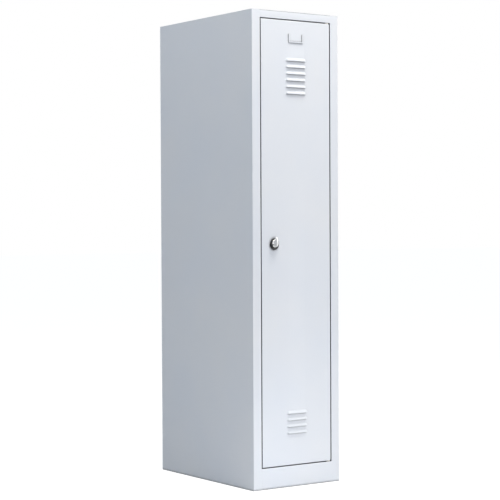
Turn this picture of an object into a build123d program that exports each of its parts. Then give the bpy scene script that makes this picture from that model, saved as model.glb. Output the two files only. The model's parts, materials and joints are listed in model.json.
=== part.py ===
"""Single-door steel locker cabinet: folded sheet carcass on a plinth, louvred flush door on
concealed pivot pins, padlock turn latch, hat shelf, coat rail with sliding hooks.

Frame: +Z up, -Y towards the front, origin on the floor at the centre of the outline.
Depths are counted from the front face of the carcass, positive towards the back.
"""

from build123d import *
import os

# ---- driving dimensions (mm) ----
HEIGHT = 1800.0
WIDTH = 405.0
DEPTH = 650.0
SHEET = 0.8  # carcass sheet
DOOR_SHEET = 1.0
BEND = 1.2  # inner bend radius
STILE = 37.5  # face width of the front stiles
TOP_RAIL = 29.5  # face height above the door opening
PLINTH = 80.0  # face height below the door opening
GAP = 3.5  # clearance round the door
HINGE_GAP = 4.0  # clearance on the hinge side
DOOR_THICK = 18.0
DOOR_RETURN = 12.0  # lip folded inwards along the back of the door
SEAM = 0.35  # gap between the stiles and the rails that butt against them
JAMB = 22.0  # depth of the fold behind the front face, where the stop lip starts
STOP_LIP = 14.0
BACK_FLANGE = 16.0
LATCH_REACH = 24.0  # how far the latch stands proud of the front face

# ---- worked out from the driving dimensions ----
FRONT_Y = (LATCH_REACH - DEPTH) / 2
HALF_W = WIDTH / 2
OPEN_X = HALF_W - STILE  # half width of the door opening
OPEN_LOW = PLINTH
OPEN_HIGH = HEIGHT - TOP_RAIL
DOOR_LEFT = -OPEN_X + GAP
DOOR_RIGHT = OPEN_X - HINGE_GAP
DOOR_LOW = OPEN_LOW + GAP
DOOR_HIGH = OPEN_HIGH - GAP
DOOR_W = DOOR_RIGHT - DOOR_LEFT
DOOR_H = DOOR_HIGH - DOOR_LOW
DOOR_MID_X = (DOOR_LEFT + DOOR_RIGHT) / 2
DOOR_MID_Z = (DOOR_LOW + DOOR_HIGH) / 2
INSIDE_X = HALF_W - SHEET  # inner face of a side panel
BACK_PANEL = DEPTH - 2 * SHEET  # depth of the back panel's inner face

# ---- door hardware ----
PIVOT_X = DOOR_RIGHT - 8.0
PIVOT_DEPTH = 7.0
PIVOT_R = 3.0
RUNNING = 0.08  # radial clearance of a turning fit
LOUVRE_W = 98.0
LOUVRE_RISE = 13.0  # height of one hood above its lip
LOUVRE_OUT = 4.5  # how far a hood stands out
LOUVRE_PITCH = 25.0
UPPER_LOUVRES = [1615.0 - LOUVRE_PITCH * i for i in range(6)]
LOWER_LOUVRES = [278.0 - LOUVRE_PITCH * i for i in range(4)]
LATCH_X = -105.0
LATCH_Z = DOOR_MID_Z
BARREL_R = 9.0
SPINDLE_R = 4.0
EYE_R = 3.0  # padlock holes in the fixed eye and in the fin
EYE_OUT = 14.2  # from the latch axis to either hole
EYE_DEPTH = 15.0
CAM_DEPTH = 24.6  # front face of the cam
CAM_THICK = 2.5
CARD_W = 68.0
CARD_H = 32.0
CARD_LOW = 1684.0

# ---- inside fittings ----
FLOOR_Z = PLINTH + STOP_LIP  # top of the floor panel
SHELF_Z = 1475.0  # top of the hat shelf
RAIL_Z = 1400.0
RAIL_DEPTH = 330.0
RAIL_R = 10.0
HOOK_X = (-110.0, 0.0, 110.0)


def block(x0, x1, d0, d1, z0, z1):
    """A box between two x, two depths and two heights."""
    centre = ((x0 + x1) / 2, FRONT_Y + (d0 + d1) / 2, (z0 + z1) / 2)
    return Pos(*centre) * Box(x1 - x0, d1 - d0, z1 - z0)


def rod_y(x, z, d0, d1, radius):
    """A round bar along the depth."""
    return Pos(x, FRONT_Y + (d0 + d1) / 2, z) * Rot(90, 0, 0) * Cylinder(radius, d1 - d0)


def rod_z(x, depth, z0, z1, radius):
    """An upright round bar."""
    return Pos(x, FRONT_Y + depth, (z0 + z1) / 2) * Cylinder(radius, z1 - z0)


def rod_x(depth, z, x0, x1, radius):
    """A round bar across the width."""
    return Pos((x0 + x1) / 2, FRONT_Y + depth, z) * Rot(0, 90, 0) * Cylinder(radius, x1 - x0)


def mirrored(shape):
    """The same shape on the other side of the cabinet."""
    return mirror(shape, about=Plane.YZ)


def folded_profile(points, thickness):
    """Face of a folded sheet seen along its folds. The points run along the outer face, with
    the metal on the left of the direction of travel."""
    inner, outer_r, inner_r = [], [], []
    count = len(points)
    for i, (x, y) in enumerate(points):
        steps = []
        if i > 0:
            steps.append((x - points[i - 1][0], y - points[i - 1][1]))
        if i < count - 1:
            steps.append((points[i + 1][0] - x, points[i + 1][1] - y))
        normals = []
        for dx, dy in steps:
            length = (dx * dx + dy * dy) ** 0.5
            normals.append((-dy / length, dx / length))
        shift_x = sum(n[0] for n in normals)
        shift_y = sum(n[1] for n in normals)
        inner.append((x + shift_x * thickness, y + shift_y * thickness))
        if len(steps) == 2:
            turn = steps[0][0] * steps[1][1] - steps[0][1] * steps[1][0]
            outer_r.append(BEND + thickness if turn > 0 else BEND)
            inner_r.append(BEND if turn > 0 else BEND + thickness)
    outer_line = FilletPolyline(*points, radius=outer_r)
    inner_line = FilletPolyline(*inner, radius=inner_r)
    ends = [Line(points[0], inner[0]), Line(points[-1], inner[-1])]
    return make_face([*outer_line.edges(), *inner_line.edges(), *[e.edge() for e in ends]])


# ---- carcass ----
def side_panel():
    """Left side: back flange, side, front stile, jamb and stop lip folded from one sheet."""
    points = [
        (-HALF_W + BACK_FLANGE, FRONT_Y + DEPTH),
        (-HALF_W, FRONT_Y + DEPTH),
        (-HALF_W, FRONT_Y),
        (-OPEN_X, FRONT_Y),
        (-OPEN_X, FRONT_Y + JAMB),
        (-OPEN_X + STOP_LIP, FRONT_Y + JAMB),
    ]
    upright = extrude(folded_profile(points, SHEET), amount=HEIGHT)
    foot = block(-HALF_W + SHEET / 2, -HALF_W + 22, STILE, DEPTH - 30, 0, SHEET)
    bend_start = JAMB - BEND - 0.1
    clear_top = block(-OPEN_X, HALF_W, bend_start, JAMB + 2, OPEN_HIGH - STOP_LIP, HEIGHT)
    clear_low = block(-OPEN_X, HALF_W, bend_start, JAMB + 2, 0, FLOOR_Z)
    lid_notch = block(-OPEN_X - 4, -OPEN_X + 1, SHEET, JAMB + 2, HEIGHT - SHEET, HEIGHT)
    return upright + foot - clear_top - clear_low - lid_notch


def rail_profile(face_low, face_high, opening_at_low):
    """Side view of a front rail in depth and height: face, two flanges and a stop lip."""
    if opening_at_low:
        points = [
            (18, face_high),
            (0, face_high),
            (0, face_low),
            (JAMB, face_low),
            (JAMB, face_low - STOP_LIP),
        ]
    else:
        points = [
            (JAMB, face_high + STOP_LIP),
            (JAMB, face_high),
            (0, face_high),
            (0, face_low),
            (40, face_low),
        ]
    return folded_profile(points, SHEET)


def front_rail(face_low, face_high, opening_at_low):
    """A folded rail that fills the space between the two stiles."""
    profile = rail_profile(face_low, face_high, opening_at_low)
    # The profile is drawn in X = depth and Y = height, then stood up across the width.
    bar = extrude(profile, amount=2 * (OPEN_X - SEAM))
    stand = Plane(origin=(-OPEN_X + SEAM, FRONT_Y, 0), x_dir=(0, 1, 0), z_dir=(1, 0, 0))
    return stand.location * bar


def top_rail():
    rail = front_rail(OPEN_HIGH, HEIGHT - SHEET, True)
    return rail - rod_z(PIVOT_X, PIVOT_DEPTH, OPEN_HIGH - 1, OPEN_HIGH + 2, 5.5)


def plinth_front():
    rail = front_rail(0, PLINTH, False)
    return rail - rod_z(PIVOT_X, PIVOT_DEPTH, PLINTH - 2, PLINTH + 1, 5.5)


def tray(x0, x1, d0, d1, top, flange, flange_front=True):
    """A flat sheet with its edges folded down."""
    plate = block(x0, x1, d0, d1, top - flange, top)
    plate = fillet(plate.edges().filter_by(Axis.Z), BEND + SHEET)
    plate = fillet(plate.faces().sort_by(Axis.Z)[-1].edges(), BEND + SHEET)
    hollow = block(x0 + SHEET, x1 - SHEET, d0 + SHEET, d1 - SHEET, top - flange - 1, top - SHEET)
    hollow = fillet(hollow.edges().filter_by(Axis.Z), BEND)
    hollow = fillet(hollow.faces().sort_by(Axis.Z)[-1].edges(), BEND)
    if not flange_front:
        hollow = hollow + block(x0 + 2, x1 - 2, d0 - 1, d0 + 3, top - flange - 1, top - SHEET)
    return plate - hollow


def top_panel():
    lid = block(-INSIDE_X, INSIDE_X, SHEET, BACK_PANEL, HEIGHT - SHEET, HEIGHT)
    lid = fillet(lid.edges().filter_by(Axis.Z), 2.5)
    lid += block(-OPEN_X + SEAM, OPEN_X - SEAM, 0, SHEET, HEIGHT - SHEET, HEIGHT)
    low = HEIGHT - 18
    for sign in (-1, 1):
        edge = sign * INSIDE_X
        lid += block(min(edge, edge - sign * SHEET), max(edge, edge - sign * SHEET),
                     STILE + 8, BACK_PANEL - 8, low, HEIGHT)
    lid += block(-INSIDE_X + 8, INSIDE_X - 8, BACK_PANEL - SHEET, BACK_PANEL, low, HEIGHT)
    return lid


def floor_panel():
    return tray(-INSIDE_X, INSIDE_X, JAMB + SHEET, BACK_PANEL, FLOOR_Z, 16)


def back_panel():
    half = INSIDE_X - 1.6
    panel = block(-half, half, BACK_PANEL, DEPTH - SHEET, 0, HEIGHT - SHEET)
    for x in (-120, 120):
        panel -= rod_y(x, 1700, BACK_PANEL - 5, DEPTH + 5, 4.5)
    return panel


def plinth_rear():
    """Angle that ties the two sides together along the back of the base."""
    low, high = 0, 60
    upright = block(-INSIDE_X + 24, INSIDE_X - 24, BACK_PANEL - SHEET, BACK_PANEL, low, high)
    return upright + block(-INSIDE_X + 24, INSIDE_X - 24, BACK_PANEL - 30, BACK_PANEL, low, SHEET)


# ---- inside fittings ----
def hat_shelf():
    shelf = tray(-INSIDE_X + 1.2, INSIDE_X - 1.2, JAMB + 14, BACK_PANEL - 2, SHELF_Z, 20)
    return shelf


def shelf_support():
    """Left angle that the shelf stands on."""
    top = SHELF_Z - 20
    web = block(-INSIDE_X, -INSIDE_X + 1.2, JAMB + 30, BACK_PANEL - 20, top - 20, top)
    ledge = block(-INSIDE_X, -INSIDE_X + 18, JAMB + 30, BACK_PANEL - 20, top - 1.2, top)
    angle = web + ledge
    for depth in (120, 540):
        angle -= rod_x(depth, top - 11, -INSIDE_X - 1, -INSIDE_X + 2, 2.6)
    return angle


def shelf_screws():
    """Screws that hold the shelf supports to the sides."""
    screws = []
    height = SHELF_Z - 31
    for depth in (120, 540):
        shank = rod_x(depth, height, -INSIDE_X, -INSIDE_X + 1.3, 2.5)
        head = rod_x(depth, height, -INSIDE_X + 1.2, -INSIDE_X + 3.6, 4.5)
        head = fillet(head.edges().group_by(Axis.X)[-1], 1.2)
        slot = block(-INSIDE_X + 2.8, -INSIDE_X + 4, depth - 3, depth + 3, height - 0.5, height + 0.5)
        cross = block(-INSIDE_X + 2.8, -INSIDE_X + 4, depth - 0.5, depth + 0.5, height - 3, height + 3)
        screws.append(shank + head - slot - cross)
    screws += [mirrored(screw) for screw in screws]
    return Compound(children=screws)


def coat_rail():
    """Round tube across the cabinet below the shelf."""
    ends = INSIDE_X - 2.2
    tube = rod_x(RAIL_DEPTH, RAIL_Z, -ends, ends, RAIL_R)
    return tube - rod_x(RAIL_DEPTH, RAIL_Z, -ends - 1, ends + 1, RAIL_R - 1.2)


def rail_socket():
    """Left cup that carries the end of the coat rail."""
    flange = rod_x(RAIL_DEPTH, RAIL_Z, -INSIDE_X, -INSIDE_X + 2, 19)
    flange = fillet(flange.edges().group_by(Axis.X)[-1], 0.8)
    cup = rod_x(RAIL_DEPTH, RAIL_Z, -INSIDE_X, -INSIDE_X + 14, RAIL_R + 2.5)
    cup = fillet(cup.edges().group_by(Axis.X)[-1], 0.6)
    bore = rod_x(RAIL_DEPTH, RAIL_Z, -INSIDE_X + 2, -INSIDE_X + 15, RAIL_R + 0.05)
    socket = flange + cup - bore
    for side in (-1, 1):
        socket -= rod_x(RAIL_DEPTH + side * 15.5, RAIL_Z, -INSIDE_X - 1, -INSIDE_X + 3, 1.8)
    return socket


def socket_screws():
    """Two small screws in each rail socket."""
    screws = []
    for side in (-1, 1):
        depth = RAIL_DEPTH + side * 15.5
        shank = rod_x(depth, RAIL_Z, -INSIDE_X, -INSIDE_X + 2.1, 1.7)
        head = rod_x(depth, RAIL_Z, -INSIDE_X + 2, -INSIDE_X + 3.4, 3.0)
        screws.append(shank + fillet(head.edges().group_by(Axis.X)[-1], 0.7))
    screws += [mirrored(screw) for screw in screws]
    return Compound(children=screws)


def coat_hook(x):
    """Double hook that hangs from a ring round the rail."""
    half = 3.0
    ring_r = RAIL_R + 3.6
    y = FRONT_Y + RAIL_DEPTH
    ring = rod_x(RAIL_DEPTH, RAIL_Z, x - 5, x + 5, ring_r)
    ring = fillet(ring.edges(), 0.8)
    arc_z = RAIL_Z - 52
    arc_out, arc_in = 20.0, 14.5
    stem_low = arc_z - arc_out + 2
    stem = block(x - half, x + half, RAIL_DEPTH - 3, RAIL_DEPTH + 3, stem_low, RAIL_Z - RAIL_R)
    bow = rod_x(RAIL_DEPTH, arc_z, x - half, x + half, arc_out)
    bow -= rod_x(RAIL_DEPTH, arc_z, x - half - 1, x + half + 1, arc_in)
    bow -= block(x - 9, x + 9, RAIL_DEPTH - 30, RAIL_DEPTH + 30, arc_z, arc_z + 30)
    hook = ring + stem + bow
    for side in (-1, 1):
        hook += Pos(x, y + side * (arc_out + arc_in) / 2, arc_z) * Sphere(4.2)
    return hook - rod_x(RAIL_DEPTH, RAIL_Z, x - 9, x + 9, RAIL_R + 0.4)


def door_bumpers():
    """Rubber buttons on the stop lip of the latch side."""
    buttons = []
    for z in (260, DOOR_MID_Z + 70, 1600):
        button = rod_y(-OPEN_X + 8.5, z, JAMB - 3.6, JAMB, 4.5)
        buttons.append(fillet(button.edges().group_by(Axis.Y)[0], 1.2))
    return Compound(children=buttons)


def strike_plate():
    """Hardened plate behind the stop lip, where the cam bears."""
    depth = JAMB + SHEET
    plate = block(-OPEN_X + 1, -OPEN_X + STOP_LIP, depth, depth + 1.2, LATCH_Z - 35, LATCH_Z + 35)
    return fillet(plate.edges().filter_by(Axis.Y), 3)


# ---- door ----
def louvre(z, depth_shift):
    """Upper half of one tapered hood whose lip is at height z, closed at both ends."""
    face = Plane(origin=(DOOR_MID_X, FRONT_Y + depth_shift, z), x_dir=(1, 0, 0), z_dir=(0, -1, 0))
    outline = face * RectangleRounded(LOUVRE_W, 2 * LOUVRE_RISE, 10)
    hood = extrude(outline, amount=LOUVRE_OUT, dir=(0, -1, 0), taper=52)
    keep = Pos(DOOR_MID_X, FRONT_Y, z + 15) * Box(LOUVRE_W + 10, 30, 30)
    return hood & keep


def door_panel():
    """Front skin with folded edges, louvres, latch hole and card frame weld area."""
    pan = block(DOOR_LEFT, DOOR_RIGHT, 0, DOOR_THICK, DOOR_LOW, DOOR_HIGH)
    corners = pan.edges().filter_by(Axis.Y)
    pan = fillet(corners.group_by(Axis.X)[-1], 4.5)
    pan = fillet(pan.edges().filter_by(Axis.Y), 1.0)
    pan = fillet(pan.faces().sort_by(Axis.Y)[0].edges(), 1.6)
    lip = DOOR_RETURN
    inner = block(DOOR_LEFT + DOOR_SHEET, DOOR_RIGHT - DOOR_SHEET, DOOR_SHEET,
                  DOOR_THICK - DOOR_SHEET, DOOR_LOW + DOOR_SHEET, DOOR_HIGH - DOOR_SHEET)
    inner = fillet(inner.edges().filter_by(Axis.Y).group_by(Axis.X)[-1], 3.5)
    back = block(DOOR_LEFT + lip, DOOR_RIGHT - lip, DOOR_THICK - 3, DOOR_THICK + 3,
                 DOOR_LOW + lip, DOOR_HIGH - lip)
    pan = pan - inner - back
    for z in UPPER_LOUVRES + LOWER_LOUVRES:
        pan = pan + louvre(z, 0) - louvre(z, DOOR_SHEET)
    pan -= rod_y(LATCH_X, LATCH_Z, -5, 10, BARREL_R + 0.2)
    for z0, z1 in ((DOOR_HIGH - 5, DOOR_HIGH + 1), (DOOR_LOW - 1, DOOR_LOW + 5)):
        pan -= rod_z(PIVOT_X, PIVOT_DEPTH, z0, z1, PIVOT_R + 1)
    return pan


def door_stiffener():
    """Hat channel behind the skin, between the two groups of louvres."""
    points = [(-42, 1.0), (-24, 1.0), (-24, 15.0), (24, 15.0), (24, 1.0), (42, 1.0)]
    moved = [(DOOR_MID_X + x, FRONT_Y + depth) for x, depth in points]
    low, high = LOWER_LOUVRES[0] + 45, UPPER_LOUVRES[-1] - 35
    return Pos(0, 0, low) * extrude(folded_profile(moved, SHEET), amount=high - low)


def pivot_block(top):
    """Welded block inside a door corner that carries a pivot pin."""
    z0, z1 = (DOOR_HIGH - 15, DOOR_HIGH - DOOR_SHEET) if top else (DOOR_LOW + DOOR_SHEET, DOOR_LOW + 15)
    body = block(DOOR_RIGHT - 38, DOOR_RIGHT - 3, DOOR_SHEET, DOOR_THICK - DOOR_SHEET, z0, z1)
    body = fillet(body.edges().filter_by(Axis.Y), 2.5)
    return body - rod_z(PIVOT_X, PIVOT_DEPTH, z0 - 1, z1 + 1, PIVOT_R)


def pivot_pin(top):
    """Pin through the corner block, with a rounded nose and a cross-head groove."""
    if top:
        z0, z1 = DOOR_HIGH - 17, OPEN_HIGH + 5
    else:
        z0, z1 = OPEN_LOW - 5, DOOR_LOW + 17
    pin = rod_z(PIVOT_X, PIVOT_DEPTH, z0, z1, PIVOT_R)
    nose = pin.edges().filter_by(GeomType.CIRCLE).group_by(Axis.Z)[-1 if top else 0]
    pin = chamfer(nose, 0.8)
    head = rod_z(PIVOT_X, PIVOT_DEPTH, z0 - 1.5, z0 + 2, 4.6) if top else \
        rod_z(PIVOT_X, PIVOT_DEPTH, z1 - 2, z1 + 1.5, 4.6)
    return pin + head


def pivot_bush(top):
    """Nylon flanged bush in the rail; its collar keeps the door off the rail."""
    collar = GAP - 0.4
    if top:
        body = rod_z(PIVOT_X, PIVOT_DEPTH, OPEN_HIGH - collar, OPEN_HIGH, 7.0)
        body += rod_z(PIVOT_X, PIVOT_DEPTH, OPEN_HIGH, OPEN_HIGH + 6, 5.4)
    else:
        body = rod_z(PIVOT_X, PIVOT_DEPTH, OPEN_LOW, OPEN_LOW + collar, 7.0)
        body += rod_z(PIVOT_X, PIVOT_DEPTH, OPEN_LOW - 6, OPEN_LOW, 5.4)
    reach = (OPEN_HIGH - 10, OPEN_HIGH + 10) if top else (OPEN_LOW - 10, OPEN_LOW + 10)
    return body - rod_z(PIVOT_X, PIVOT_DEPTH, *reach, PIVOT_R + RUNNING)


def card_frame():
    """Pressed U-shaped holder for a name card, open at the top."""
    x0 = DOOR_MID_X - CARD_W / 2
    x1 = DOOR_MID_X + CARD_W / 2
    z1 = CARD_LOW + CARD_H
    out, lip, metal = 2.8, 5.0, 0.8
    frame = block(x0, x1, -out, 0, CARD_LOW, z1)
    frame = fillet(frame.edges().filter_by(Axis.Y).group_by(Axis.Z)[0], 2.5)
    frame = chamfer(frame.faces().sort_by(Axis.Y)[0].edges(), 0.5)
    frame -= block(x0 + metal, x1 - metal, -out + metal, 1, CARD_LOW + metal, z1 + 1)
    return frame - block(x0 + lip, x1 - lip, -out - 1, 1, CARD_LOW + lip, z1 + 1)


# ---- turn latch ----
def latch_housing():
    """Oval escutcheon with the fixed padlock eye and the threaded barrel behind it."""
    middle = (LATCH_X, FRONT_Y, LATCH_Z - 2.5)
    face = Plane(origin=middle, x_dir=(1, 0, 0), z_dir=(0, -1, 0))
    base = extrude(face * Ellipse(17.5, 21.5), amount=8.5, dir=(0, -1, 0))
    base = fillet(base.faces().sort_by(Axis.Y)[0].edges(), 1.6)
    barrel = rod_y(LATCH_X, LATCH_Z, 0, 18.5, BARREL_R)
    eye = block(LATCH_X - 19.4, LATCH_X - 9.2, -18.5, 0, LATCH_Z - 6.6, LATCH_Z - 3.4)
    eye = fillet(eye.edges().filter_by(Axis.Z).group_by(Axis.Y)[0], 4)
    eye -= rod_y(LATCH_X, LATCH_Z, -11.5, 0, 15.0)
    hole = Pos(LATCH_X - EYE_OUT, FRONT_Y - EYE_DEPTH, LATCH_Z) * Cylinder(EYE_R, 30)
    recess = rod_y(LATCH_X, LATCH_Z, -12, -5.5, 14.8)
    bore = rod_y(LATCH_X, LATCH_Z, -6, 30, SPINDLE_R + RUNNING)
    return base + barrel + eye - recess - bore - hole


def latch_knob():
    """Turning disc with a finger fin that reaches further up than down, and the spindle."""
    disc = rod_y(LATCH_X, LATCH_Z, -10.8, -5.8, 14.4)
    disc = fillet(disc.edges().group_by(Axis.Y)[0], 1.8)
    half = 2.8
    side = Plane(origin=(LATCH_X - half, FRONT_Y, LATCH_Z), x_dir=(0, -1, 0), z_dir=(-1, 0, 0))
    outline = [(8, -12), (14, -13.4), (20, -9.5), (23, -2), (LATCH_REACH, 6), (22.6, 15), (18, 22), (10, 25)]
    edge = Spline(*outline)
    back = Line(outline[-1], outline[0])
    fin = extrude(side * make_face([edge, back]), amount=2 * half, dir=(1, 0, 0))
    fin = chamfer(fin.faces().sort_by(Axis.X)[0].edges(), 0.7)
    fin = chamfer(fin.faces().sort_by(Axis.X)[-1].edges(), 0.7)
    spindle = rod_y(LATCH_X, LATCH_Z, -6, 22.0, SPINDLE_R)
    square = block(LATCH_X - 2.75, LATCH_X + 2.75, 21, CAM_DEPTH + CAM_THICK - 0.2,
                   LATCH_Z - 2.75, LATCH_Z + 2.75)
    across = Rot(0, 90, 0) * Cylinder(EYE_R, 30)
    hole_up = Pos(LATCH_X, FRONT_Y - EYE_DEPTH, LATCH_Z + EYE_OUT) * across
    tapped = rod_y(LATCH_X, LATCH_Z, 15, 30, 1.6)
    return disc + fin + spindle + square - hole_up - tapped


def latch_nut():
    """Hexagon nut that clamps the housing to the door skin."""
    face = Plane(origin=(LATCH_X, FRONT_Y + DOOR_SHEET, LATCH_Z), x_dir=(1, 0, 0), z_dir=(0, 1, 0))
    nut = extrude(face * RegularPolygon(14, 6), amount=5, dir=(0, 1, 0))
    nut &= rod_y(LATCH_X, LATCH_Z, 0, 9, 13.6)
    return nut - rod_y(LATCH_X, LATCH_Z, -1, 20, BARREL_R)


def latch_cam():
    """Flat bar that swings behind the stop lip; it stands upright when the latch is open."""
    length = LATCH_X + OPEN_X - 4
    bar = block(LATCH_X - 9, LATCH_X + 9, CAM_DEPTH, CAM_DEPTH + CAM_THICK, LATCH_Z - 12, LATCH_Z + length)
    bar = fillet(bar.edges().filter_by(Axis.Y), 7)
    return bar - block(LATCH_X - 2.8, LATCH_X + 2.8, 20, 30, LATCH_Z - 2.8, LATCH_Z + 2.8)


def cam_screw():
    """Screw and washer that hold the cam on the square."""
    back = CAM_DEPTH + CAM_THICK
    washer = rod_y(LATCH_X, LATCH_Z, back, back + 1.0, 6.0)
    head = rod_y(LATCH_X, LATCH_Z, back + 1.0, back + 4.0, 4.0)
    head = fillet(head.edges().group_by(Axis.Y)[-1], 1.0)
    socket = rod_y(LATCH_X, LATCH_Z, back + 2.2, back + 5, 1.6)
    return washer + head + rod_y(LATCH_X, LATCH_Z, back - 8, back + 1, 1.55) - socket


PARTS = {
    "left_side_panel": side_panel,
    "right_side_panel": lambda: mirrored(side_panel()),
    "back_panel": back_panel,
    "top_panel": top_panel,
    "top_rail": top_rail,
    "plinth_front": plinth_front,
    "plinth_rear": plinth_rear,
    "floor_panel": floor_panel,
    "hat_shelf": hat_shelf,
    "shelf_support_left": shelf_support,
    "shelf_support_right": lambda: mirrored(shelf_support()),
    "shelf_screws": shelf_screws,
    "coat_rail": coat_rail,
    "rail_socket_left": rail_socket,
    "rail_socket_right": lambda: mirrored(rail_socket()),
    "socket_screws": socket_screws,
    "coat_hook_left": lambda: coat_hook(HOOK_X[0]),
    "coat_hook_middle": lambda: coat_hook(HOOK_X[1]),
    "coat_hook_right": lambda: coat_hook(HOOK_X[2]),
    "door_bumpers": door_bumpers,
    "strike_plate": strike_plate,
    "pivot_bush_upper": lambda: pivot_bush(True),
    "pivot_bush_lower": lambda: pivot_bush(False),
    "door_panel": door_panel,
    "door_stiffener": door_stiffener,
    "pivot_block_upper": lambda: pivot_block(True),
    "pivot_block_lower": lambda: pivot_block(False),
    "pivot_pin_upper": lambda: pivot_pin(True),
    "pivot_pin_lower": lambda: pivot_pin(False),
    "card_frame": card_frame,
    "latch_housing": latch_housing,
    "latch_nut": latch_nut,
    "latch_knob": latch_knob,
    "latch_cam": latch_cam,
    "cam_screw": cam_screw,
}

os.makedirs("parts", exist_ok=True)
for name, make in PARTS.items():
    export_step(make(), f"parts/{name}.step")
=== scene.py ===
"""Looks for the locker cabinet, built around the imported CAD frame.

Helpers take millimetres; meshes are written in metres. Depths run from the front face to the back.
"""
import json
import math

import bmesh
import bpy
from mathutils import Matrix, Vector


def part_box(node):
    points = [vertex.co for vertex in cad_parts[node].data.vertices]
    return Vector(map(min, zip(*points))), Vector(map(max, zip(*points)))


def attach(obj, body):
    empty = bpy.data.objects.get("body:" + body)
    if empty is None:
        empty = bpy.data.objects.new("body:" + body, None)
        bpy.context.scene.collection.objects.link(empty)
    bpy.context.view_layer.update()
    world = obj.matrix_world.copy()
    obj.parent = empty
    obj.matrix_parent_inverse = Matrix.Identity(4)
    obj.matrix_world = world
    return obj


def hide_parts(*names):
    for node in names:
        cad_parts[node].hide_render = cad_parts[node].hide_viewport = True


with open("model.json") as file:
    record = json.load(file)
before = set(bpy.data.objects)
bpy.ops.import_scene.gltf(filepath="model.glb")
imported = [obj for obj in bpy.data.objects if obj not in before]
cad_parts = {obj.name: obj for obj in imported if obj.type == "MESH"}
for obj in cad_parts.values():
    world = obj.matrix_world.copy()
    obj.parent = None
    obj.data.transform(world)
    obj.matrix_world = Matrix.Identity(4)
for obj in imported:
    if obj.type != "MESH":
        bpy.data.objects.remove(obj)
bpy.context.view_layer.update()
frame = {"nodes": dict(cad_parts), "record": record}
nodes = frame["nodes"]

MM = 0.001
SHEET = 0.8
DOOR_SHEET = 1.0
BEND = 1.2
STOP_LIP = 14.0
JAMB = 22.0
BACK_FLANGE = 16.0
FOOT_W = 22.0
BEND_STEPS = 7


def slot_of(node):
    """Material slot that the record gives a CAD node."""
    return [s["material_slot"] for s in frame["record"]["subparts"] if s["node"] == node][0]


def box_mm(node):
    """Lowest and highest corner of a CAD node in millimetres."""
    low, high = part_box(node)
    return Vector(low) / MM, Vector(high) / MM


SIDE_LOW, SIDE_HIGH = box_mm("left_side_panel")
DOOR_LOW, DOOR_HIGH = box_mm("door_panel")
RAIL_LOW, RAIL_HIGH = box_mm("top_rail")
PLINTH_HIGH = box_mm("plinth_front")[1]
CARD_LOW, CARD_HIGH = box_mm("card_frame")
STIFF_LOW, STIFF_HIGH = box_mm("door_stiffener")
FLOOR_HIGH = box_mm("floor_panel")[1]
NUT_LOW, NUT_HIGH = box_mm("latch_nut")
PIN_LOW, PIN_HIGH = box_mm("pivot_pin_upper")
FRONT = SIDE_LOW.y
HALF_W = -SIDE_LOW.x
OPEN_X = -SIDE_HIGH.x + STOP_LIP
HEIGHT = SIDE_HIGH.z
OPEN_LOW = PLINTH_HIGH.z - STOP_LIP
OPEN_HIGH = RAIL_LOW.z + STOP_LIP
SEAM = OPEN_X - RAIL_HIGH.x
LATCH_X = (NUT_LOW.x + NUT_HIGH.x) / 2
LATCH_Z = (NUT_LOW.z + NUT_HIGH.z) / 2


# ---- camera, first so that the view is known ----
def add_camera():
    """Camera at the photograph's viewing angle."""
    turn, lift, roll = math.radians(-34.87), math.radians(0.994), math.radians(-0.27)
    distance, focal = 6.086968, 1553.844
    target = Vector((-0.04074, FRONT * MM + 0.250, 0.896974))
    back = Vector((math.sin(turn) * math.cos(lift), -math.cos(turn) * math.cos(lift), math.sin(lift)))
    right = (-back).cross(Vector((0, 0, 1))).normalized()
    up = right.cross(-back)
    tilted_right = right * math.cos(roll) + up * math.sin(roll)
    tilted_up = up * math.cos(roll) - right * math.sin(roll)
    data = bpy.data.cameras.new("camera")
    data.sensor_width = 36.0
    data.lens = focal / 500 * data.sensor_width
    data.clip_end = 100
    camera = bpy.data.objects.new("camera", data)
    bpy.context.scene.collection.objects.link(camera)
    axes = Matrix((tilted_right, tilted_up, back)).transposed()
    camera.matrix_world = Matrix.Translation(target + back * distance) @ axes.to_4x4()
    bpy.context.scene.camera = camera


add_camera()


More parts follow.
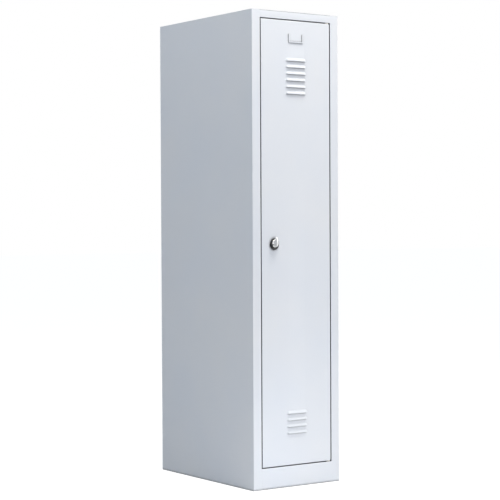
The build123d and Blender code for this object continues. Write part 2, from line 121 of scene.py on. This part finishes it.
# ---- materials ----
class Nodes:
    """Short way to build a material's node tree."""

    def __init__(self, name):
        self.material = bpy.data.materials.new(name)
        self.material.use_nodes = True
        self.tree = self.material.node_tree
        self.shader = self.tree.nodes["Principled BSDF"]

    def add(self, kind, **settings):
        node = self.tree.nodes.new(kind)
        for key, value in settings.items():
            if hasattr(node, key):
                setattr(node, key, value)
            else:
                node.inputs[key.replace("_", " ").title()].default_value = value
        return node

    def link(self, source, target):
        self.tree.links.new(source, target)

    def position(self, scale=(1, 1, 1)):
        """Object coordinates in metres, stretched by scale."""
        coords = self.add("ShaderNodeTexCoord")
        mapping = self.add("ShaderNodeMapping")
        mapping.inputs["Scale"].default_value = scale
        self.link(coords.outputs["Object"], mapping.inputs["Vector"])
        return mapping.outputs["Vector"]

    def noise(self, vector, scale, detail=2.0, rough=0.5):
        node = self.add("ShaderNodeTexNoise", scale=scale, detail=detail, roughness=rough)
        self.link(vector, node.inputs["Vector"])
        return node.outputs["Fac"]

    def ramp(self, value, low, high, at=(0.3, 0.7)):
        """Maps a value to a range, linear between two stops."""
        node = self.add("ShaderNodeMapRange", clamp=True)
        node.inputs["From Min"].default_value = at[0]
        node.inputs["From Max"].default_value = at[1]
        node.inputs["To Min"].default_value = low
        node.inputs["To Max"].default_value = high
        self.link(value, node.inputs["Value"])
        return node.outputs["Result"]

    def mix(self, factor, first, second):
        """Mixes two colours; either may be a socket."""
        node = self.add("ShaderNodeMix", data_type="RGBA")
        self.link(factor, node.inputs[0])
        for value, socket in ((first, node.inputs[6]), (second, node.inputs[7])):
            if hasattr(value, "is_output"):
                self.link(value, socket)
            else:
                socket.default_value = (*value, 1)
        return node.outputs[2]

    def bump(self, height, distance, strength=1.0, after=None):
        node = self.add("ShaderNodeBump")
        node.inputs["Distance"].default_value = distance
        node.inputs["Strength"].default_value = strength
        self.link(height, node.inputs["Height"])
        if after is not None:
            self.link(after, node.inputs["Normal"])
        return node.outputs["Normal"]

    def edge_mask(self, radius):
        """1 close to an edge and 0 on the open surface."""
        bevel = self.add("ShaderNodeBevel", samples=4)
        bevel.inputs["Radius"].default_value = radius
        geometry = self.add("ShaderNodeNewGeometry")
        dot = self.add("ShaderNodeVectorMath", operation="DOT_PRODUCT")
        self.link(bevel.outputs["Normal"], dot.inputs[0])
        self.link(geometry.outputs["Normal"], dot.inputs[1])
        return self.ramp(dot.outputs["Value"], 1.0, 0.0, at=(0.80, 0.995))

    def rounded(self, radius):
        """Normal that turns smoothly over the edges of a crisp solid."""
        bevel = self.add("ShaderNodeBevel", samples=4)
        bevel.inputs["Radius"].default_value = radius
        return bevel.outputs["Normal"]

    def crevice_shade_mask(self, reach):
        """1 deep in a narrow gap and 0 on the open surface; it marks where shade is painted in."""
        shade = self.add("ShaderNodeAmbientOcclusion", samples=6)
        shade.inputs["Distance"].default_value = reach
        return self.ramp(shade.outputs["AO"], 1.0, 0.0, at=(0.38, 0.92))

    def set(self, **values):
        for key, value in values.items():
            self.shader.inputs[key.replace("_", " ")].default_value = value


def powder_coat():
    """Light grey powder coat: slight orange peel, rubbed edges, painted shade in narrow creases and gaps."""
    m = Nodes("powder_coat")
    place = m.position()
    cloud = m.noise(place, 3.2, 3.0)
    speck = m.noise(place, 900.0, 1.0)
    grain = m.noise(place, 620.0, 3.0, 0.6)
    peel = m.noise(place, 150.0, 2.0)
    waves = m.noise(m.position((1, 1, 0.35)), 6.5, 2.0)
    tint = m.mix(m.ramp(cloud, 0, 1), PAINT_COOL, PAINT_WARM)
    tint = m.mix(m.ramp(speck, 0, 0.35, at=(0.55, 0.85)), tint, PAINT_SPECK)
    wear = m.edge_mask(0.0012)
    scuff = m.ramp(m.noise(place, 60.0, 3.0), 0, 0.55, at=(0.50, 0.72))
    rubbed = m.add("ShaderNodeMath", operation="MULTIPLY")
    m.link(wear, rubbed.inputs[0])
    m.link(scuff, rubbed.inputs[1])
    tint = m.mix(rubbed.outputs[0], tint, PAINT_RUBBED)
    # Painted shade: ambient occlusion turns the paint near black in gaps, creases and under the louvre lips.
    tint = m.mix(m.crevice_shade_mask(0.010), tint, PAINT_CREVICE_SHADE)
    m.link(tint, m.shader.inputs["Base Color"])
    m.link(m.ramp(grain, 0.40, 0.54), m.shader.inputs["Roughness"])
    normal = m.bump(waves, 0.0012, 0.5)
    normal = m.bump(peel, 0.00010, 0.5, normal)
    normal = m.bump(grain, 0.00004, 0.5, normal)
    m.link(normal, m.shader.inputs["Normal"])
    m.set(Specular_IOR_Level=0.5)
    return m.material


def metal(name, colour, dark, rough, stretch, scale, scratch):
    """Bare metal whose grain runs along the axis with the smallest stretch."""
    m = Nodes(name)
    grain = m.noise(m.position(stretch), scale, 4.0, 0.6)
    blotch = m.noise(m.position(), 45.0, 3.0)
    tint = m.mix(m.ramp(blotch, 0, 1), colour, dark)
    wear = m.edge_mask(0.0006)
    tint = m.mix(wear, tint, tuple(min(1, c * 1.15) for c in colour))
    m.link(tint, m.shader.inputs["Base Color"])
    m.link(m.ramp(grain, rough * 0.75, rough * 1.35), m.shader.inputs["Roughness"])
    m.link(m.bump(grain, scratch, 0.4, m.rounded(0.0004)), m.shader.inputs["Normal"])
    m.set(Metallic=1.0)
    return m.material


def moulded(name, colour, dark, rough, bump):
    """Moulded plastic or rubber with a fine spark-eroded texture."""
    m = Nodes(name)
    place = m.position()
    grain = m.noise(place, 1400.0, 2.0)
    blotch = m.noise(place, 60.0, 2.0)
    tint = m.mix(m.ramp(blotch, 0, 1), colour, dark)
    wear = m.edge_mask(0.0005)
    tint = m.mix(wear, tint, tuple(min(1, c * 1.25) for c in colour))
    m.link(tint, m.shader.inputs["Base Color"])
    m.link(m.ramp(grain, rough * 0.85, rough * 1.15), m.shader.inputs["Roughness"])
    m.link(m.bump(grain, bump, 0.6, m.rounded(0.0004)), m.shader.inputs["Normal"])
    return m.material


PAINT_COOL = (0.560, 0.600, 0.668)
PAINT_WARM = (0.588, 0.616, 0.664)
PAINT_SPECK = (0.500, 0.530, 0.580)
PAINT_RUBBED = (0.700, 0.720, 0.740)
# Near-black colour painted into narrow gaps and creases as shade.
PAINT_CREVICE_SHADE = (0.060, 0.065, 0.072)
CHROME = ((0.95, 0.955, 0.96), (0.92, 0.925, 0.93))
TUBE = ((0.74, 0.75, 0.76), (0.66, 0.67, 0.69))
EVEN = (1, 1, 1)
ALONG_X = (0.05, 1, 1)
MATERIALS = {
    "powder_coat": powder_coat(),
    "latch_chrome": metal("latch_chrome", *CHROME, 0.36, EVEN, 90, 0.00002),
    "latch_black": moulded("latch_black", (0.016, 0.017, 0.019), (0.011, 0.011, 0.012), 0.34, 0.00002),
    "zinc": metal("zinc", (0.60, 0.61, 0.63), (0.50, 0.51, 0.54), 0.34, EVEN, 260, 0.00004),
    "plated_tube": metal("plated_tube", *TUBE, 0.18, ALONG_X, 700, 0.00002),
    "grey_plastic": moulded("grey_plastic", (0.075, 0.08, 0.09), (0.055, 0.06, 0.065), 0.50, 0.00005),
    "nylon": moulded("nylon", (0.74, 0.72, 0.66), (0.68, 0.66, 0.60), 0.42, 0.00004),
    "bumper_rubber": moulded("bumper_rubber", (0.020, 0.020, 0.021), (0.014, 0.014, 0.015), 0.72, 0.00008),
}


# ---- mesh helpers ----
def drop_inner_faces(work):
    """Removes the level faces inside the metal, where two stacked lengths of a sheet meet."""
    inner = []
    for face in work.faces:
        heights = [v.co.z for v in face.verts]
        shared = sum(len(edge.link_faces) > 2 for edge in face.edges)
        if max(heights) - min(heights) < 0.01 * MM and shared >= 2:
            inner.append(face)
    bmesh.ops.delete(work, geom=inner, context="FACES_ONLY")


def make_piece(name, verts, faces, body, replaced, slot_name="powder_coat", angle=32, thickness=0.0):
    """Writes one piece from points in millimetres, with smooth bends and crisp corners."""
    mesh = bpy.data.meshes.new(name)
    mesh.from_pydata([tuple(c * MM for c in v) for v in verts], [], faces)
    piece = bpy.data.objects.new(name, mesh)
    bpy.context.scene.collection.objects.link(piece)
    work = bmesh.new()
    work.from_mesh(mesh)
    bmesh.ops.remove_doubles(work, verts=work.verts, dist=0.02 * MM)
    drop_inner_faces(work)
    bmesh.ops.recalc_face_normals(work, faces=work.faces)
    work.to_mesh(mesh)
    work.free()
    if thickness:
        solid = piece.modifiers.new("sheet", "SOLIDIFY")
        solid.thickness = thickness * MM
        solid.offset = -1
        solid.use_even_offset = True
    finish_piece(piece, body, replaced, slot_name, angle)
    return piece


def bake_modifiers(piece):
    """Applies every modifier of a piece to its mesh."""
    graph = bpy.context.evaluated_depsgraph_get()
    graph.update()
    mesh = bpy.data.meshes.new_from_object(piece.evaluated_get(graph))
    piece.modifiers.clear()
    piece.data = mesh


def finish_piece(piece, body, replaced, slot_name, angle=32):
    bake_modifiers(piece)
    piece.data.shade_smooth()
    piece.data.set_sharp_from_angle(angle=math.radians(angle))
    piece.data.materials.clear()
    piece.data.materials.append(MATERIALS[slot_name])
    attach(piece, body)
    if replaced:
        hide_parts(*replaced)


def rounded_path(points, radii):
    """A line through the points with its inner corners turned into arcs."""
    out = [Vector(points[0])]
    for i in range(1, len(points) - 1):
        before, corner, after = (Vector(p) for p in points[i - 1:i + 2])
        radius = radii[i - 1]
        to_before = (before - corner).normalized()
        to_after = (after - corner).normalized()
        # All folds are right angles, so the arc starts one radius from the corner.
        centre = corner + (to_before + to_after) * radius
        for step in range(BEND_STEPS + 1):
            a = step / BEND_STEPS * math.pi / 2
            out.append(centre - to_after * radius * math.cos(a) - to_before * radius * math.sin(a))
    out.append(Vector(points[-1]))
    return out


def folded_outline(points, thickness):
    """Closed outline of a folded sheet, the metal on the left of the line of travel."""
    points = [Vector(p) for p in points]
    inner, outer_r, inner_r = [], [], []
    for i, point in enumerate(points):
        steps = []
        if i > 0:
            steps.append((point - points[i - 1]).normalized())
        if i < len(points) - 1:
            steps.append((points[i + 1] - point).normalized())
        shift = Vector((0, 0))
        for step in steps:
            shift += Vector((-step.y, step.x))
        inner.append(point + shift * thickness)
        if len(steps) == 2:
            left_turn = steps[0].x * steps[1].y - steps[0].y * steps[1].x > 0
            outer_r.append(BEND + thickness if left_turn else BEND)
            inner_r.append(BEND if left_turn else BEND + thickness)
    return rounded_path(points, outer_r) + rounded_path(inner, inner_r)[::-1]


def extruded(outline, low, high, place):
    """Prism of an outline between two positions. place turns (u, v, w) into (x, y, z)."""
    count = len(outline)
    verts = [place(p.x, p.y, low) for p in outline] + [place(p.x, p.y, high) for p in outline]
    faces = []
    for i in range(count):
        j = (i + 1) % count
        faces.append((i, j, count + j, count + i))
    half = count // 2
    # Each cap is a strip between the outer and the inner line, so that it stays inside the metal.
    for base in (0, count):
        for i in range(half - 1):
            faces.append((base + i, base + i + 1, base + count - 2 - i, base + count - 1 - i))
    return verts, faces


# ---- carcass sheets ----
def side_sheets():
    """Both sides with their back flange, stile, jamb and stop lip, cut back for lid and rails."""
    points = [
        (-HALF_W + BACK_FLANGE, SIDE_HIGH.y),
        (-HALF_W, SIDE_HIGH.y),
        (-HALF_W, FRONT),
        (-OPEN_X, FRONT),
        (-OPEN_X, FRONT + JAMB),
        (-OPEN_X + STOP_LIP, FRONT + JAMB),
    ]
    full = folded_outline(points, SHEET)
    no_lip = folded_outline(points[:-1], SHEET)
    low_end = FLOOR_HIGH.z
    high_end = OPEN_HIGH - STOP_LIP
    lengths = ((no_lip, 0, low_end), (full, low_end, high_end), (no_lip, high_end, HEIGHT))
    for sign, name, node in ((1, "side_left", "left_side_panel"), (-1, "side_right", "right_side_panel")):
        def place(u, v, w):
            return (sign * u, v, w)
        verts, faces = [], []
        for outline, low, high in lengths:
            part_verts, part_faces = extruded(outline, low, high, place)
            base = len(verts)
            verts += part_verts
            faces += [tuple(base + i for i in face) for face in part_faces]
        inner, tip = -HALF_W + SHEET, -HALF_W + FOOT_W
        foot = [(inner, 0), (tip, 0), (tip, SHEET), (inner, SHEET)]
        base = len(verts)
        for depth in (FRONT + 40, SIDE_HIGH.y - 30):
            verts += [(sign * u, depth, w) for u, w in foot]
        faces += [(base, base + 1, base + 2, base + 3), (base + 4, base + 5, base + 6, base + 7)]
        faces += [(base + i, base + (i + 1) % 4, base + 4 + (i + 1) % 4, base + 4 + i) for i in range(4)]
        make_piece(name, verts, faces, "carcass", [node])


def across(points, low, high, name, node, body="carcass"):
    """A folded sheet that runs across the width, drawn in depth and height."""
    outline = folded_outline(points, SHEET)
    verts, faces = extruded(outline, low, high, lambda u, v, w: (w, FRONT + u, v))
    return make_piece(name, verts, faces, body, [node])


def rails():
    half = OPEN_X - SEAM
    top = HEIGHT - SHEET
    across([(18, top), (0, top), (0, OPEN_HIGH), (JAMB, OPEN_HIGH), (JAMB, RAIL_LOW.z)],
           -half, half, "rail_top", "top_rail")
    across([(JAMB, PLINTH_HIGH.z), (JAMB, OPEN_LOW), (0, OPEN_LOW), (0, 0), (40, 0)],
           -half, half, "plinth_sheet", "plinth_front")


def corner_fill():
    """Dressed weld that closes the bend between each stile and the rail beside it."""
    verts, faces = [], []
    section = [(OPEN_X - 0.7, 0.05), (OPEN_X + 0.6, 0.09), (OPEN_X + 2.0, 0.02), (OPEN_X - 0.7, 2.6)]
    for side in (-1, 1):
        for low, high in ((0.4, OPEN_LOW - 0.4), (OPEN_HIGH + 0.4, HEIGHT - SHEET - 0.1)):
            base = len(verts)
            verts += [(side * x, FRONT + depth, z) for z in (low, high) for x, depth in section]
            faces += [(base + i, base + (i + 1) % 4, base + 4 + (i + 1) % 4, base + 4 + i) for i in range(4)]
            faces += [(base, base + 1, base + 2, base + 3), (base + 4, base + 5, base + 6, base + 7)]
    make_piece("corner_fill", verts, faces, "carcass", None)


side_sheets()
rails()
corner_fill()


# ---- door ----
EDGE_R = 1.8
CORNER_R = 5.0
RETURN = 12.0
THICK = 18.0
BARREL_HOLE_R = 9.2
PIVOT_HOLE_R = 4.0
LOUVRE_W = 98.0
LOUVRE_RISE = 13.0
LOUVRE_OUT = 4.4
LOUVRE_PITCH = 25.0
LIPS = [1615.0 - LOUVRE_PITCH * i for i in range(6)] + [278.0 - LOUVRE_PITCH * i for i in range(4)]
DOOR_MID_X = (DOOR_LOW.x + DOOR_HIGH.x) / 2
DOOR_MID_Z = (DOOR_LOW.z + DOOR_HIGH.z) / 2
HALF_DOOR_W = (DOOR_HIGH.x - DOOR_LOW.x) / 2
HALF_DOOR_H = (DOOR_HIGH.z - DOOR_LOW.z) / 2


def louvre_height(x, rise):
    """How far a hood stands out, at x from its middle and rise above its lip."""
    end = max(0.0, (abs(x) - (LOUVRE_W / 2 - 12)) / 12)
    reach = math.hypot(end, rise / LOUVRE_RISE)
    if reach >= 1:
        return 0.0
    fall = min(1.0, max(0.0, (reach - 0.12) / 0.88))
    return LOUVRE_OUT * (1 - fall * fall * (3 - 2 * fall))


def spaced(values, step):
    """The values with more of them in between, no further apart than step."""
    out = [values[0]]
    for a, b in zip(values, values[1:]):
        count = max(1, math.ceil((b - a) / step - 1e-6))
        out += [a + (b - a) * i / count for i in range(1, count + 1)]
    return out


def door_skin():
    """Front skin with open louvres, rolled edges, returns and lips, from one sheet."""
    flat = CORNER_R
    x_edge = HALF_DOOR_W - flat
    xs = [-x_edge] + spaced([-LOUVRE_W / 2 - 2, -LOUVRE_W / 2 + 14], 1.1)
    xs += spaced([-LOUVRE_W / 2 + 14, LOUVRE_W / 2 - 14], 6)[1:]
    xs += spaced([LOUVRE_W / 2 - 14, LOUVRE_W / 2 + 2], 1.1)[1:] + [x_edge]
    z_edge = HALF_DOOR_H - flat
    rows = [(-z_edge, None)]
    for lip in sorted(LIPS):
        rows.append((lip - DOOR_MID_Z, "below"))
        rows.append((lip - DOOR_MID_Z, lip))
        for i in range(1, 15):
            rows.append((lip - DOOR_MID_Z + LOUVRE_RISE * i / 14, lip))
    rows.append((z_edge, None))
    verts, faces = [], []
    for z, lip in rows:
        for x in xs:
            out = 0.0
            if lip not in (None, "below"):
                out = louvre_height(x, z + DOOR_MID_Z - lip)
            verts.append((x, -out, z))
    width = len(xs)
    for r in range(len(rows) - 1):
        if rows[r][1] == "below":
            continue
        for c in range(width - 1):
            a = r * width + c
            faces.append((a, a + 1, a + width + 1, a + width))
    # The rim: the border of the grid, then rings round the edge and back along the returns.
    last = len(rows) - 1
    border = [(x, rows[0][0]) for x in xs]
    border += [(xs[-1], z) for z, lip in rows[1:last] if lip != "below"] + [(xs[-1], rows[last][0])]
    border += [(x, rows[last][0]) for x in reversed(xs[:-1])]
    border += [(xs[0], z) for z, lip in reversed(rows[1:last]) if lip != "below"]
    rings = [(flat, 0.0)]
    steps = 6
    for i in range(steps + 1):
        a = i / steps * math.pi / 2
        rings.append((EDGE_R * (1 - math.sin(a)), EDGE_R * (1 - math.cos(a))))
    for i in range(steps + 1):
        a = i / steps * math.pi / 2
        rings.append((EDGE_R * (1 - math.cos(a)), THICK - EDGE_R * (1 - math.sin(a))))
    rings.append((RETURN, THICK))

    def ring_points(inset, depth):
        out = []
        for x, z in border:
            at_x = abs(abs(x) - x_edge) < 1e-6
            at_z = abs(abs(z) - z_edge) < 1e-6
            hx, hz = HALF_DOOR_W - inset, HALF_DOOR_H - inset
            if at_x and at_z:
                side_x, side_z = math.copysign(1, x), math.copysign(1, z)
                wanted = CORNER_R if side_x > 0 else 1.0
                radius = max(0.0, min(wanted, flat) - inset)
                arc = []
                for i in range(7):
                    a = i / 6 * math.pi / 2
                    arc.append((side_x * (hx - radius + radius * math.cos(a)), depth,
                                side_z * (hz - radius + radius * math.sin(a))))
                clockwise = side_x * side_z > 0
                out += arc if clockwise else arc[::-1]
            elif at_z:
                out.append((x, depth, math.copysign(hz, z)))
            else:
                out.append((math.copysign(hx, x), depth, z))
        return out

    previous = None
    for inset, depth in rings:
        points = ring_points(inset, depth)
        base = len(verts)
        verts += points
        if previous is not None:
            count = len(points)
            for i in range(count):
                j = (i + 1) % count
                faces.append((previous + i, previous + j, base + j, base + i))
        previous = base
    verts = [(DOOR_MID_X + x, FRONT + y, DOOR_MID_Z + z) for x, y, z in verts]
    skin = make_piece("door_skin", verts, faces, "door", ["door_panel"], thickness=DOOR_SHEET)
    holes = [("y", (LATCH_X, FRONT + 2, LATCH_Z), BARREL_HOLE_R, 12)]
    pivot = ((PIN_LOW.x + PIN_HIGH.x) / 2, (PIN_LOW.y + PIN_HIGH.y) / 2)
    for z in (DOOR_HIGH.z - 1, DOOR_LOW.z + 1):
        holes.append(("z", (*pivot, z), PIVOT_HOLE_R, 6))
    cut_holes(skin, holes)
    return skin


def cut_holes(piece, holes):
    """Cuts round holes: (axis, centre, radius, length)."""
    cutters = []
    for axis, centre, radius, length in holes:
        work = bmesh.new()
        bmesh.ops.create_cone(work, cap_ends=True, segments=40, radius1=radius * MM, radius2=radius * MM,
                              depth=length * MM)
        if axis == "y":
            bmesh.ops.rotate(work, verts=work.verts, matrix=Matrix.Rotation(math.pi / 2, 3, "X"))
        bmesh.ops.translate(work, verts=work.verts, vec=Vector(centre) * MM)
        mesh = bpy.data.meshes.new("cutter")
        work.to_mesh(mesh)
        work.free()
        cutter = bpy.data.objects.new("cutter", mesh)
        bpy.context.scene.collection.objects.link(cutter)
        cut = piece.modifiers.new("hole", "BOOLEAN")
        cut.object = cutter
        cut.operation = "DIFFERENCE"
        cut.solver = "EXACT"
        cutters.append(cutter)
    bake_modifiers(piece)
    for cutter in cutters:
        bpy.data.objects.remove(cutter)


door_skin()


# ---- card holder ----
def card_holder():
    """Pressed U-shaped strip that stands off the door, with a rolled front edge."""
    mid_x = (CARD_LOW.x + CARD_HIGH.x) / 2
    half_w = (CARD_HIGH.x - CARD_LOW.x) / 2
    out = FRONT - CARD_LOW.y
    corner, lip, edge = 2.6, 5.0, 0.9

    def line(inset):
        """The U from the top of the left leg to the top of the right leg."""
        radius = max(0.0, corner - inset)
        points = [(-half_w + inset, CARD_HIGH.z)]
        for side in (-1, 1):
            arc = []
            for i in range(7):
                a = i / 6 * math.pi / 2
                arc.append((side * (half_w - inset - radius + radius * math.cos(a)),
                            CARD_LOW.z + inset + radius - radius * math.sin(a)))
            points += arc if side < 0 else arc[::-1]
        return points + [(half_w - inset, CARD_HIGH.z)]

    rings = [(0.0, 0.0)]
    for i in range(5):
        a = i / 4 * math.pi / 2
        rings.append((edge * (1 - math.cos(a)), out - edge * (1 - math.sin(a))))
    rings += [(lip - 0.8, out), (lip - 0.2, out - 0.15), (lip, out - 0.5)]
    verts, faces = [], []
    for inset, depth in rings:
        verts += [(mid_x + x, FRONT - depth, z) for x, z in line(inset)]
    count = len(line(0))
    for r in range(len(rings) - 1):
        for i in range(count - 1):
            a = r * count + i
            faces.append((a, a + 1, a + count + 1, a + count))
    make_piece("card_holder", verts, faces, "door", ["card_frame"], thickness=0.7)


card_holder()


# ---- coat hooks ----
def tube(work, path, radii, sides=14):
    """Round bar along a path in one x plane, closed at both ends."""
    rings = []
    for i, point in enumerate(path):
        ahead = path[min(i + 1, len(path) - 1)] - path[max(i - 1, 0)]
        across = Vector((1, 0, 0))
        upward = ahead.normalized().cross(across)
        ring = []
        for k in range(sides):
            a = 2 * math.pi * k / sides
            offset = across * math.cos(a) + upward * math.sin(a)
            ring.append(work.verts.new((point + offset * radii[i]) * MM))
        rings.append(ring)
    for lower, upper in zip(rings, rings[1:]):
        for k in range(sides):
            j = (k + 1) % sides
            work.faces.new((lower[k], lower[j], upper[j], upper[k]))
    work.faces.new(rings[0][::-1])
    work.faces.new(rings[-1])


def turned(work, centre, profile, sides=40):
    """Ring turned round the x axis from a closed profile of (x, radius)."""
    rings = []
    for k in range(sides):
        a = 2 * math.pi * k / sides
        rings.append([work.verts.new(Vector((centre.x + x, centre.y + r * math.cos(a),
                                             centre.z + r * math.sin(a))) * MM) for x, r in profile])
    for k in range(sides):
        near, far = rings[k], rings[(k + 1) % sides]
        for i in range(len(profile)):
            j = (i + 1) % len(profile)
            work.faces.new((near[i], near[j], far[j], far[i]))


def coat_hook(side):
    """Cast double hook: closed ring, stem, two prongs that end in balls."""
    low, high = box_mm("coat_hook_" + side)
    rail_low, rail_high = box_mm("coat_rail")
    centre = Vector(((low.x + high.x) / 2, (rail_low.y + rail_high.y) / 2, (rail_low.z + rail_high.z) / 2))
    bore = (rail_high.z - rail_low.z) / 2 + 0.4
    rim = high.z - centre.z
    half = 4.8  # of the ring's width
    bow = 17.25  # radius of the line that both prongs follow
    bar = 2.9  # radius of the bar they are made of
    ball = 4.1
    work = bmesh.new()
    right_half = [(half - 0.6, bore), (half, bore + 0.6), (half - 0.5, rim - 0.9), (half - 1.6, rim - 0.1)]
    left_half = [(-x, r) for x, r in right_half]
    turned(work, centre, left_half[1::-1] + right_half + left_half[:1:-1])
    bow_z = low.z + bow + bar
    drop = (centre.z - bow_z + bow - bore - 2) / 10
    stem = [centre - Vector((0, 0, bore + 2 + i * drop)) for i in range(11)]
    tube(work, stem, [3.6 - 0.09 * i + 0.10 * max(0, i - 7) ** 2 for i in range(11)])
    arc = []
    for i in range(33):
        a = math.pi * i / 32
        arc.append(Vector((centre.x, centre.y + bow * math.cos(a), bow_z - bow * math.sin(a))))
    tube(work, arc, [bar] * len(arc))
    for end in (arc[0], arc[-1]):
        bmesh.ops.create_uvsphere(work, u_segments=20, v_segments=14, radius=ball * MM,
                                  matrix=Matrix.Translation(end * MM))
    bmesh.ops.recalc_face_normals(work, faces=work.faces)
    mesh = bpy.data.meshes.new("hook_" + side)
    work.to_mesh(mesh)
    work.free()
    piece = bpy.data.objects.new("hook_" + side, mesh)
    bpy.context.scene.collection.objects.link(piece)
    node = "coat_hook_" + side
    finish_piece(piece, "hook_" + side, [node], slot_of(node), angle=40)


for hook_side in ("left", "middle", "right"):
    coat_hook(hook_side)


# ---- spot welds ----
def spot_welds(name, body, spots):
    """Shallow round marks of spot welding: (centre, axis the mark faces)."""
    verts, faces = [], []
    profile = [(2.9, 0.0), (2.5, 0.10), (1.7, 0.06), (0.0, 0.04)]
    sides = 16
    for centre, facing in spots:
        normal = Vector(facing)
        across = normal.cross(Vector((0, 0, 1)))
        upward = normal.cross(across)
        base = len(verts)
        for radius, height in profile[:-1]:
            for k in range(sides):
                a = 2 * math.pi * k / sides
                verts.append(Vector(centre) + across * radius * math.cos(a) + upward * radius * math.sin(a)
                             + normal * height)
        verts.append(Vector(centre) + normal * profile[-1][1])
        for r in range(len(profile) - 2):
            for k in range(sides):
                j = (k + 1) % sides
                a = base + r * sides
                faces.append((a + k, a + j, a + sides + j, a + sides + k))
        last = base + (len(profile) - 2) * sides
        faces += [(last + k, last + (k + 1) % sides, len(verts) - 1) for k in range(sides)]
        faces.append(tuple(base + k for k in range(sides)))
    make_piece(name, verts, faces, body, None, angle=60)


def weld_rows():
    """Welds along both flanges of the door stiffener."""
    door_spots = []
    flange = (STIFF_HIGH.x - STIFF_LOW.x) / 2 - 9
    count = 11
    for side in (-1, 1):
        for i in range(count):
            z = STIFF_LOW.z + 30 + (STIFF_HIGH.z - STIFF_LOW.z - 60) * i / (count - 1)
            x = (STIFF_LOW.x + STIFF_HIGH.x) / 2 + side * flange
            door_spots.append(((x, STIFF_LOW.y + SHEET, z), (0, 1, 0)))
    spot_welds("door_welds", "door", door_spots)


weld_rows()

for node_name, node in nodes.items():
    node.data.materials.clear()
    node.data.materials.append(MATERIALS[slot_of(node_name)])
    node.data.shade_smooth()
    node.data.set_sharp_from_angle(angle=math.radians(28))


# ---- floor, world and lights ----
def seen_mix(tree, lit, seen, out_socket):
    """Uses one shader for the light that reaches things and another for what shows directly."""
    path = tree.nodes.new("ShaderNodeLightPath")
    mix = tree.nodes.new("ShaderNodeMixShader")
    tree.links.new(path.outputs["Is Camera Ray"], mix.inputs[0])
    tree.links.new(lit, mix.inputs[1])
    tree.links.new(seen, mix.inputs[2])
    tree.links.new(mix.outputs[0], out_socket)


def add_floor(bounce, glow, shadow):
    """Pale floor: bounce is its albedo, glow and shadow say how it shows."""
    size = 40.0
    corners = [(-size, -size, 0), (size, -size, 0), (size, size, 0), (-size, size, 0)]
    mesh = bpy.data.meshes.new("studio_floor")
    mesh.from_pydata(corners, [], [(0, 1, 2, 3)])
    floor = bpy.data.objects.new("studio_floor", mesh)
    bpy.context.scene.collection.objects.link(floor)
    material = bpy.data.materials.new("studio_floor")
    material.use_nodes = True
    tree = material.node_tree
    tree.nodes.clear()
    out = tree.nodes.new("ShaderNodeOutputMaterial")
    lit = tree.nodes.new("ShaderNodeBsdfDiffuse")
    lit.inputs["Color"].default_value = (bounce, bounce, bounce, 1)
    soft = tree.nodes.new("ShaderNodeBsdfDiffuse")
    soft.inputs["Color"].default_value = (shadow, shadow, shadow, 1)
    shine = tree.nodes.new("ShaderNodeEmission")
    shine.inputs["Strength"].default_value = glow
    both = tree.nodes.new("ShaderNodeAddShader")
    tree.links.new(soft.outputs[0], both.inputs[0])
    tree.links.new(shine.outputs[0], both.inputs[1])
    seen_mix(tree, lit.outputs[0], both.outputs[0], out.inputs[0])
    mesh.materials.append(material)


def add_world(left, right, seen):
    """Surroundings that are darker on the left; the background itself shows white."""
    world = bpy.data.worlds.new("studio")
    bpy.context.scene.world = world
    world.use_nodes = True
    tree = world.node_tree
    tree.nodes.clear()
    out = tree.nodes.new("ShaderNodeOutputWorld")
    coords = tree.nodes.new("ShaderNodeTexCoord")
    split = tree.nodes.new("ShaderNodeSeparateXYZ")
    tree.links.new(coords.outputs["Generated"], split.inputs[0])
    ramp = tree.nodes.new("ShaderNodeMapRange")
    ramp.interpolation_type = "SMOOTHSTEP"
    ramp.inputs["From Min"].default_value = -0.9
    ramp.inputs["From Max"].default_value = 0.5
    ramp.inputs["To Min"].default_value = left
    ramp.inputs["To Max"].default_value = right
    tree.links.new(split.outputs[0], ramp.inputs["Value"])
    lit = tree.nodes.new("ShaderNodeBackground")
    lit.inputs["Color"].default_value = (0.88, 0.94, 1.0, 1)
    tree.links.new(ramp.outputs[0], lit.inputs["Strength"])
    white = tree.nodes.new("ShaderNodeBackground")
    white.inputs["Color"].default_value = (1, 1, 1, 1)
    white.inputs["Strength"].default_value = seen
    seen_mix(tree, lit.outputs[0], white.outputs[0], out.inputs[0])


def add_area(name, place, aim, size, power, colour):
    data = bpy.data.lights.new(name, "AREA")
    data.shape = "RECTANGLE"
    data.size, data.size_y = size
    data.energy = power
    data.color = colour
    light = bpy.data.objects.new(name, data)
    light.location = place
    light.rotation_euler = (Vector(aim) - Vector(place)).to_track_quat("-Z", "Y").to_euler()
    bpy.context.scene.collection.objects.link(light)


add_floor(0.65, 0.84, 0.30)
add_world(0.517, 0.592, 1.0)
add_area("key_front", (1.2, -4.6, 2.9), (0, 0, 1.3), (2.0, 1.6), 60, (1.0, 0.93, 0.91))
add_area("reflector", (3.2, -4.9, 1.3), (0, -0.3, 0.95), (2.4, 2.4), 30, (1.0, 0.97, 0.95))
add_area("top_soft", (0.1, -1.15, 4.2), (0, -0.35, 1.0), (2.2, 0.9), 124, (1.0, 0.947, 0.845))
add_area("side_top", (-2.6, 0.2, 4.0), (-0.2, 0, 1.4), (1.6, 1.2), 35, (1.0, 1.0, 1.0))
add_area("floor_bounce", (-0.1, -0.95, 0.03), (0, -0.3, 0.03), (0.9, 0.12), 1.9, (1.0, 1.0, 1.0))
bpy.context.scene.view_settings.view_transform = "Standard"
